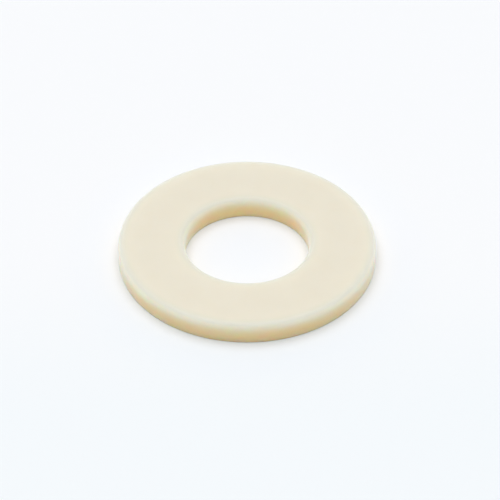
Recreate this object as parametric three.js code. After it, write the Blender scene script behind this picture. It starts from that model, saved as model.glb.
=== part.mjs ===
// A plain flat washer for an M4 screw, moulded in one piece from natural (uncoloured) nylon.
//
// It is a single ring. Both upper edges, at the rim and at the hole, are rounded, as the moulding
// leaves them. Both lower edges have only a slight break, so the lower face seats flat.
//
// Units are millimetres. +Z is up, along the axis of the hole, and the origin is the centre of the
// hole in the plane of the lower face, which is the face that the washer rests on.

import * as THREE from "three";

// Driving dimensions.
const HOLE_DIAMETER = 4.35;
const OUTER_DIAMETER = 9.0;
const THICKNESS = 0.75;
const UPPER_EDGE_RADIUS = 0.2;
const LOWER_EDGE_RADIUS = 0.03;

// How finely the round surfaces are divided.
const STEPS_AROUND = 96;
const STEPS_PER_HALF_EDGE = 2;

// Natural nylon: a milky cream with a satin surface.
const NYLON = { color: 0xebe5d2, roughness: 0.5, metalness: 0.0 };

const HALF_TURN = Math.PI;
const QUARTER_TURN = Math.PI / 2;

// The cross-section of the ring, as radius against height. It runs anticlockwise, from the inner end of
// the lower face out along that face, up the rim, in over the upper face and down the hole's wall.
function ringSection() {
  const inner = HOLE_DIAMETER / 2;
  const outer = OUTER_DIAMETER / 2;
  const upper = UPPER_EDGE_RADIUS;
  const lower = LOWER_EDGE_RADIUS;
  const section = new THREE.Path();
  section.moveTo(inner + lower, 0);
  section.lineTo(outer - lower, 0);
  section.absarc(outer - lower, lower, lower, -QUARTER_TURN, 0, false);
  section.absarc(outer - upper, THICKNESS - upper, upper, 0, QUARTER_TURN, false);
  section.absarc(inner + upper, THICKNESS - upper, upper, QUARTER_TURN, HALF_TURN, false);
  section.absarc(inner + lower, lower, lower, HALF_TURN, HALF_TURN + QUARTER_TURN, false);
  return section.getPoints(STEPS_PER_HALF_EDGE);
}

// The section turned once round the hole's axis. A lathe turns about Y, so it is stood up on Z.
function washerRing() {
  const geometry = new THREE.LatheGeometry(ringSection(), STEPS_AROUND);
  geometry.rotateX(QUARTER_TURN);
  const ring = new THREE.Mesh(geometry, new THREE.MeshStandardMaterial(NYLON));
  ring.name = "washer_ring";
  return ring;
}

const flatWasher = new THREE.Group();
flatWasher.add(washerRing());

export default flatWasher;
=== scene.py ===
"""A natural nylon M4 flat washer on a pale studio floor.

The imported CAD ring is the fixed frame. A finer ring with the same section stands for it and carries the
moulded surface. Everything is in metres, with +Z up the axis of the hole.
"""

import math

import bpy
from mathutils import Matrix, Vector


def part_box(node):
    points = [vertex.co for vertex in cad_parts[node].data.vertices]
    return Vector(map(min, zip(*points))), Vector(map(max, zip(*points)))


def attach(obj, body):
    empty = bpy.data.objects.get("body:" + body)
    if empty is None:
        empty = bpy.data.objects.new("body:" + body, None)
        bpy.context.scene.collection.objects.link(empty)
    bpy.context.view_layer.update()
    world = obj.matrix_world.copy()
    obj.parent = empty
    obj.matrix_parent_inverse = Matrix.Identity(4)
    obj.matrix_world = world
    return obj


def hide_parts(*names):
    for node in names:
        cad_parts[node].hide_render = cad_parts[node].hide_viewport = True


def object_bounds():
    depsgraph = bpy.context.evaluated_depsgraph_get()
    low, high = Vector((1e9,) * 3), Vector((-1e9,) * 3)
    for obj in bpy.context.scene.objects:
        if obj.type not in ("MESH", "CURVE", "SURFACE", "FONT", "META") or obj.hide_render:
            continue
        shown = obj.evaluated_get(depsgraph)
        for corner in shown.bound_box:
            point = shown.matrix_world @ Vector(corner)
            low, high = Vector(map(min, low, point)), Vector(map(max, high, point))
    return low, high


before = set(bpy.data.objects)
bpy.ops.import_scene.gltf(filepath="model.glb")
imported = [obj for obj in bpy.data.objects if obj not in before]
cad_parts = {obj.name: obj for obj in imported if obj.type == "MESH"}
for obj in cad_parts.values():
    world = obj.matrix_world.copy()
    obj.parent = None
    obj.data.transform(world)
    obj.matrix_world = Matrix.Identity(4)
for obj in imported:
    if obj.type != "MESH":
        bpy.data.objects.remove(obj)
cad_low, cad_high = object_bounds()

RING_NODE = "washer_ring"
DEPTH = "depth"
WHITE = (1, 1, 1)

# How finely the ring is divided: round it, over each edge, up each wall and across each face.
STEPS_AROUND = 360
STEPS_PER_UPPER_EDGE = 14
STEPS_PER_LOWER_EDGE = 8
STEPS_PER_WALL = 10
STEPS_PER_FACE = 20

# Two heights this close are the same, when the CAD ring's upper and lower faces are looked up.
SAME_HEIGHT = 1e-6

# Nylon, cream on its faces. Down each wall the colour is painted light: the amber is a painted glow that
# stands for light come far through the nylon, a slightly darker band over the rounded upper edge is painted
# shade, and the paler stops below that edge and at the foot are painted light where the wall gets little.
# Each stop is a share of the way down the wall and the colour there. The run starts on the upper face,
# EDGE_FADE short of the rounded edge.
EDGE_FADE = 0.00015
NYLON_AND_PAINTED_LIGHT_DOWN_A_WALL = (
    (0.0, (0.796, 0.742, 0.606)),
    (0.07, (0.773, 0.734, 0.592)),
    (0.145, (0.743, 0.714, 0.585)),
    (0.23, (0.723, 0.705, 0.59)),
    (0.282, (0.77, 0.754, 0.618)),
    (0.325, (0.872, 0.827, 0.643)),
    (0.402, (0.938, 0.832, 0.594)),
    (0.504, (0.955, 0.77, 0.465)),
    (0.615, (0.952, 0.72, 0.368)),
    (0.76, (0.965, 0.71, 0.332)),
    (1.0, (0.97, 0.85, 0.5)),
)
SCATTER_SCALE = 0.0007
SCATTER_COLOUR = (1.0, 0.8, 0.5)
NYLON_ROUGHNESS = (0.44, 0.56)
NYLON_IOR = 1.53

# A cool sheen whitens what is seen at a low angle, so that the walls at the sides don't look too amber. It
# is set to match the photograph, and isn't a known property of the plastic.
NYLON_SHEEN = 0.8
SHEEN_ROUGHNESS = 0.45
SHEEN_TINT = (0.85, 0.95, 1.0)

# Its surface: cloudy patches in the colour, satin patches, and the fine grain that the mould leaves.
CLOUD_SIZE = 0.0009
CLOUD_TINT = (0.965, 0.955, 0.94)
CLOUD_DETAIL = 3.0
SATIN_SIZE = 0.0004
SATIN_DETAIL = 2.0
GRAIN_SIZE = 0.00008
GRAIN_DETAIL = 2.0
GRAIN_HEIGHT = 0.000002

# A noise pattern's values mostly lie between these two.
NOISE_LIMITS = (0.3, 0.7)

# The floor is painted darker towards the front, a painted shade where the light falls off; the tone changes
# between two places along Y.
FLOOR_SIZE = 3.0
FLOOR_BEHIND = (0.896, 0.910, 0.931)
FLOOR_SHADED_IN_FRONT = (0.864, 0.900, 0.926)
FLOOR_CHANGES = (-0.0085, 0.0005)

# Near the ring the floor is painted cooler, which offsets the warm light that the painted walls throw on
# it. The tint fades out between two distances from the ring's axis.
FLOOR_PAINTED_COOL_NEAR_RING = (0.979, 0.993, 1.016)
FLOOR_NEAR_ENDS = (0.0046, 0.0072)

# The tone of the lit floor, in which the camera sees the sky.
FLOOR_TONE = (0.947, 0.965, 0.982)

# The light: a broad softbox overhead, which leans a little to the back and the left, a weaker one in front,
# and a low sky behind and on both sides.
SOFTBOX_ANGLE = math.radians(60)
OVERHEAD_STRENGTH = 1.81
OVERHEAD_TILT = (math.radians(-10), math.radians(-2.5))
FRONT_STRENGTH = 0.52
FRONT_TILT = (math.radians(30), 0.0)
SKY_BEHIND = 0.55
SKY_SIDES = 0.55

# The camera, in outer radii of the ring where it says so.
CAMERA_ELEVATION = math.radians(40.46)
CAMERA_DISTANCE_IN_RADII = 21.383
CAMERA_AIM_IN_RADII = (0.0228, 0.0737, 0.0)
CAMERA_LENS = 197.08
CAMERA_SENSOR_WIDTH = 36
CAMERA_CLIP = (0.001, 10)


def ring_sizes():
    """The CAD ring's radii, thickness and edge radii, from the frame."""
    low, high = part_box(RING_NODE)
    points = [v.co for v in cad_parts[RING_NODE].data.vertices]
    top = [math.hypot(p.x, p.y) for p in points if p.z > high.z - SAME_HEIGHT]
    bottom = [math.hypot(p.x, p.y) for p in points if p.z < low.z + SAME_HEIGHT]
    outer = high.x
    inner = min(math.hypot(p.x, p.y) for p in points)
    return {
        "inner": inner,
        "outer": outer,
        "thickness": high.z,
        "upper_edge": outer - max(top),
        "lower_edge": outer - max(bottom),
    }


def arc(centre, radius, start, end, steps):
    """Points along a quarter circle, without its last one."""
    turn = (end - start) / steps
    return [
        (centre[0] + radius * math.cos(start + turn * i), centre[1] + radius * math.sin(start + turn * i))
        for i in range(steps)
    ]


def line(start, end, steps):
    """Evenly spaced points along a straight stretch, without its last one."""
    return [
        (start[0] + (end[0] - start[0]) * i / steps, start[1] + (end[1] - start[1]) * i / steps)
        for i in range(steps)
    ]


def ring_section(size):
    """The ring's closed section as (radius, height): lower face, rim, upper face, then the hole's wall."""
    inner, outer, top = size["inner"], size["outer"], size["thickness"]
    upper, lower = size["upper_edge"], size["lower_edge"]
    quarter = math.pi / 2
    section = line((inner + lower, 0), (outer - lower, 0), STEPS_PER_FACE)
    section += arc((outer - lower, lower), lower, -quarter, 0, STEPS_PER_LOWER_EDGE)
    section += line((outer, lower), (outer, top - upper), STEPS_PER_WALL)
    section += arc((outer - upper, top - upper), upper, 0, quarter, STEPS_PER_UPPER_EDGE)
    section += line((outer - upper, top), (inner + upper, top), STEPS_PER_FACE)
    section += arc((inner + upper, top - upper), upper, quarter, 2 * quarter, STEPS_PER_UPPER_EDGE)
    section += line((inner, top - upper), (inner, lower), STEPS_PER_WALL)
    section += arc((inner + lower, lower), lower, 2 * quarter, 3 * quarter, STEPS_PER_LOWER_EDGE)
    return section


def smooth_step(low, high, value):
    share = min(max((value - low) / (high - low), 0), 1)
    return share * share * (3 - 2 * share)


def depth_share(point, size):
    """How far a point of the section is down a wall, along the surface.

    It is 0 on the upper face until the last stretch before the edge, and 1 at the wall's foot, and it fades
    back to 0 on the lower face.
    """
    radius, height = point
    upper = size["upper_edge"]
    reach = min(size["outer"] - radius, radius - size["inner"])
    if height < size["lower_edge"]:
        return 1 - smooth_step(0, upper, reach)
    bend = math.acos(1 - min(reach / upper, 1))
    straight = size["thickness"] - upper
    on_face = EDGE_FADE - min(max(reach - upper, 0), EDGE_FADE)
    over_edge = upper * (math.pi / 2 - bend)
    down_wall = max(straight - height, 0)
    return (on_face + over_edge + down_wall) / (EDGE_FADE + upper * math.pi / 2 + straight)


def ring_mesh(size):
    section = ring_section(size)
    count = len(section)
    vertices = []
    for step in range(STEPS_AROUND):
        angle = 2 * math.pi * step / STEPS_AROUND
        for radius, height in section:
            vertices.append((radius * math.cos(angle), radius * math.sin(angle), height))
    faces = []
    for step in range(STEPS_AROUND):
        here = step * count
        ahead = (step + 1) % STEPS_AROUND * count
        for i in range(count):
            j = (i + 1) % count
            faces.append((here + i, ahead + i, ahead + j, here + j))
    mesh = bpy.data.meshes.new("nylon_ring")
    mesh.from_pydata(vertices, [], faces)
    mesh.shade_smooth()
    depths = [depth_share(point, size) for point in section] * STEPS_AROUND
    mesh.attributes.new(DEPTH, "FLOAT", "POINT").data.foreach_set("value", depths)
    return mesh


def mix_colours(tree, blend, share, first, second):
    """Two colours mixed. The share and each colour may be a value or a socket."""
    mix = tree.nodes.new("ShaderNodeMix")
    mix.data_type = "RGBA"
    mix.blend_type = blend
    for name, value in (("Factor", share), ("A", first), ("B", second)):
        if isinstance(value, tuple):
            mix.inputs[name].default_value = (*value, 1)
        elif isinstance(value, float):
            mix.inputs[name].default_value = value
        else:
            tree.links.new(value, mix.inputs[name])
    return mix.outputs["Result"]


def smooth_share(tree, value, ends):
    """How far a value is from the first end to the second, eased at both."""
    share = tree.nodes.new("ShaderNodeMapRange")
    share.interpolation_type = "SMOOTHSTEP"
    share.inputs["From Min"].default_value, share.inputs["From Max"].default_value = ends
    tree.links.new(value, share.inputs["Value"])
    return share.outputs["Result"]


def nylon_and_painted_light_colour(tree):
    """The nylon's cream colour with the painted glow, shade and light down each wall, by the depth that the
    mesh holds.
    """
    depth = tree.nodes.new("ShaderNodeAttribute")
    depth.attribute_name = DEPTH
    ramp = tree.nodes.new("ShaderNodeValToRGB")
    stops = ramp.color_ramp.elements
    while len(stops) < len(NYLON_AND_PAINTED_LIGHT_DOWN_A_WALL):
        stops.new(0.5)
    for stop, (share, colour) in zip(stops, NYLON_AND_PAINTED_LIGHT_DOWN_A_WALL):
        stop.position = share
        stop.color = (*colour, 1)
    tree.links.new(depth.outputs["Fac"], ramp.inputs["Fac"])
    clouds = noise(tree, CLOUD_SIZE, CLOUD_DETAIL)
    return mix_colours(tree, "MULTIPLY", clouds, ramp.outputs["Color"], CLOUD_TINT)


def noise(tree, size, detail):
    """Noise through the solid, with features of about the given size."""
    place = tree.nodes.new("ShaderNodeTexCoord")
    pattern = tree.nodes.new("ShaderNodeTexNoise")
    pattern.inputs["Scale"].default_value = 1 / size
    pattern.inputs["Detail"].default_value = detail
    tree.links.new(place.outputs["Object"], pattern.inputs["Vector"])
    return pattern.outputs["Fac"]


def spread(tree, value, low, high):
    """A noise value spread between two limits."""
    limits = tree.nodes.new("ShaderNodeMapRange")
    limits.inputs["From Min"].default_value, limits.inputs["From Max"].default_value = NOISE_LIMITS
    limits.inputs["To Min"].default_value = low
    limits.inputs["To Max"].default_value = high
    tree.links.new(value, limits.inputs["Value"])
    return limits.outputs["Result"]


def nylon():
    material = bpy.data.materials.new("moulded_nylon")
    material.use_nodes = True
    tree = material.node_tree
    shader = tree.nodes["Principled BSDF"]
    shader.subsurface_method = "RANDOM_WALK_SKIN"
    tree.links.new(nylon_and_painted_light_colour(tree), shader.inputs["Base Color"])
    patches = noise(tree, SATIN_SIZE, SATIN_DETAIL)
    tree.links.new(spread(tree, patches, *NYLON_ROUGHNESS), shader.inputs["Roughness"])
    grain = tree.nodes.new("ShaderNodeBump")
    grain.inputs["Distance"].default_value = GRAIN_HEIGHT
    tree.links.new(noise(tree, GRAIN_SIZE, GRAIN_DETAIL), grain.inputs["Height"])
    tree.links.new(grain.outputs["Normal"], shader.inputs["Normal"])
    shader.inputs["IOR"].default_value = NYLON_IOR
    shader.inputs["Sheen Weight"].default_value = NYLON_SHEEN
    shader.inputs["Sheen Roughness"].default_value = SHEEN_ROUGHNESS
    shader.inputs["Sheen Tint"].default_value = (*SHEEN_TINT, 1)
    shader.inputs["Subsurface Weight"].default_value = 1.0
    shader.inputs["Subsurface Radius"].default_value = SCATTER_COLOUR
    shader.inputs["Subsurface Scale"].default_value = SCATTER_SCALE
    return material


def make_ring():
    size = ring_sizes()
    ring = bpy.data.objects.new("nylon_ring", ring_mesh(size))
    bpy.context.scene.collection.objects.link(ring)
    ring.data.materials.append(nylon())
    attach(ring, "root")
    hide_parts(RING_NODE)


def floor_colour(tree):
    """The floor's colour: painted shade towards the front, and painted cooler near the ring to offset the
    walls' warm light.
    """
    place = tree.nodes.new("ShaderNodeTexCoord")
    parts = tree.nodes.new("ShaderNodeSeparateXYZ")
    tree.links.new(place.outputs["Object"], parts.inputs["Vector"])
    behind = smooth_share(tree, parts.outputs["Y"], FLOOR_CHANGES)
    tone = mix_colours(tree, "MIX", behind, FLOOR_SHADED_IN_FRONT, FLOOR_BEHIND)
    away = tree.nodes.new("ShaderNodeVectorMath")
    away.operation = "LENGTH"
    tree.links.new(place.outputs["Object"], away.inputs[0])
    far = smooth_share(tree, away.outputs["Value"], FLOOR_NEAR_ENDS)
    tint = mix_colours(tree, "MIX", far, FLOOR_PAINTED_COOL_NEAR_RING, WHITE)
    return mix_colours(tree, "MULTIPLY", 1.0, tone, tint)


def make_floor():
    half = FLOOR_SIZE / 2
    corners = [(-half, -half, 0), (half, -half, 0), (half, half, 0), (-half, half, 0)]
    mesh = bpy.data.meshes.new("floor")
    mesh.from_pydata(corners, [], [(0, 1, 2, 3)])
    floor = bpy.data.objects.new("floor", mesh)
    bpy.context.scene.collection.objects.link(floor)
    material = bpy.data.materials.new("floor")
    material.use_nodes = True
    tree = material.node_tree
    shader = tree.nodes["Principled BSDF"]
    tree.links.new(floor_colour(tree), shader.inputs["Base Color"])
    shader.inputs["Roughness"].default_value = 1.0
    shader.inputs["Specular IOR Level"].default_value = 0.0
    floor.data.materials.append(material)


def facing(tree, direction):
    """How much a direction of the sky faces the given one, from 1 straight at it to -1 straight away."""
    sky = tree.nodes.new("ShaderNodeTexCoord")
    dot = tree.nodes.new("ShaderNodeVectorMath")
    dot.operation = "DOT_PRODUCT"
    dot.inputs[1].default_value = direction
    tree.links.new(sky.outputs["Generated"], dot.inputs[0])
    return dot.outputs["Value"]


def maths(tree, operation, *values):
    """A maths node on numbers and sockets."""
    node = tree.nodes.new("ShaderNodeMath")
    node.operation = operation
    for socket, value in zip(node.inputs, values):
        if isinstance(value, (int, float)):
            socket.default_value = value
        else:
            tree.links.new(value, socket)
    return node.outputs["Value"]


def make_sky():
    """The low sky, which lights the ring from behind and from both sides.

    The camera sees it in the tone of the lit floor, so no horizon shows.
    """
    world = bpy.data.worlds.new("studio")
    bpy.context.scene.world = world
    world.use_nodes = True
    tree = world.node_tree
    light = tree.nodes["Background"]
    light.inputs["Color"].default_value = (*WHITE, 1)
    behind = maths(tree, "MAXIMUM", facing(tree, (0, 1, 0)), 0)
    sides = maths(tree, "ABSOLUTE", facing(tree, (1, 0, 0)))
    from_sides = maths(tree, "MULTIPLY", sides, SKY_SIDES)
    strength = maths(tree, "MULTIPLY_ADD", behind, SKY_BEHIND, from_sides)
    tree.links.new(strength, light.inputs["Strength"])
    seen = tree.nodes.new("ShaderNodeBackground")
    seen.inputs["Color"].default_value = (*FLOOR_TONE, 1)
    path = tree.nodes.new("ShaderNodeLightPath")
    mix = tree.nodes.new("ShaderNodeMixShader")
    tree.links.new(path.outputs["Is Camera Ray"], mix.inputs["Fac"])
    tree.links.new(light.outputs["Background"], mix.inputs[1])
    tree.links.new(seen.outputs["Background"], mix.inputs[2])
    tree.links.new(mix.outputs["Shader"], tree.nodes["World Output"].inputs["Surface"])


def make_softbox(name, strength, tilt):
    """A broad softbox, tilted from straight overhead.

    The tilt is about X, which brings it forward, and then about Y, which takes it to the right.
    """
    light = bpy.data.lights.new(name, "SUN")
    light.angle = SOFTBOX_ANGLE
    light.energy = strength
    softbox = bpy.data.objects.new(name, light)
    softbox.rotation_euler.x, softbox.rotation_euler.y = tilt
    bpy.context.scene.collection.objects.link(softbox)


def make_camera():
    outer = cad_high.x
    aim = Vector(CAMERA_AIM_IN_RADII) * outer
    back = Vector((0, -math.cos(CAMERA_ELEVATION), math.sin(CAMERA_ELEVATION)))
    camera = bpy.data.objects.new("camera", bpy.data.cameras.new("camera"))
    bpy.context.scene.collection.objects.link(camera)
    camera.location = aim + back * CAMERA_DISTANCE_IN_RADII * outer
    camera.rotation_mode = "QUATERNION"
    camera.rotation_quaternion = back.to_track_quat("Z", "Y")
    camera.data.lens = CAMERA_LENS
    camera.data.sensor_width = CAMERA_SENSOR_WIDTH
    camera.data.clip_start, camera.data.clip_end = CAMERA_CLIP
    bpy.context.scene.camera = camera


make_camera()
make_ring()
make_floor()
make_sky()
make_softbox("overhead_softbox", OVERHEAD_STRENGTH, OVERHEAD_TILT)
make_softbox("front_softbox", FRONT_STRENGTH, FRONT_TILT)
bpy.context.scene.view_settings.view_transform = "Standard"
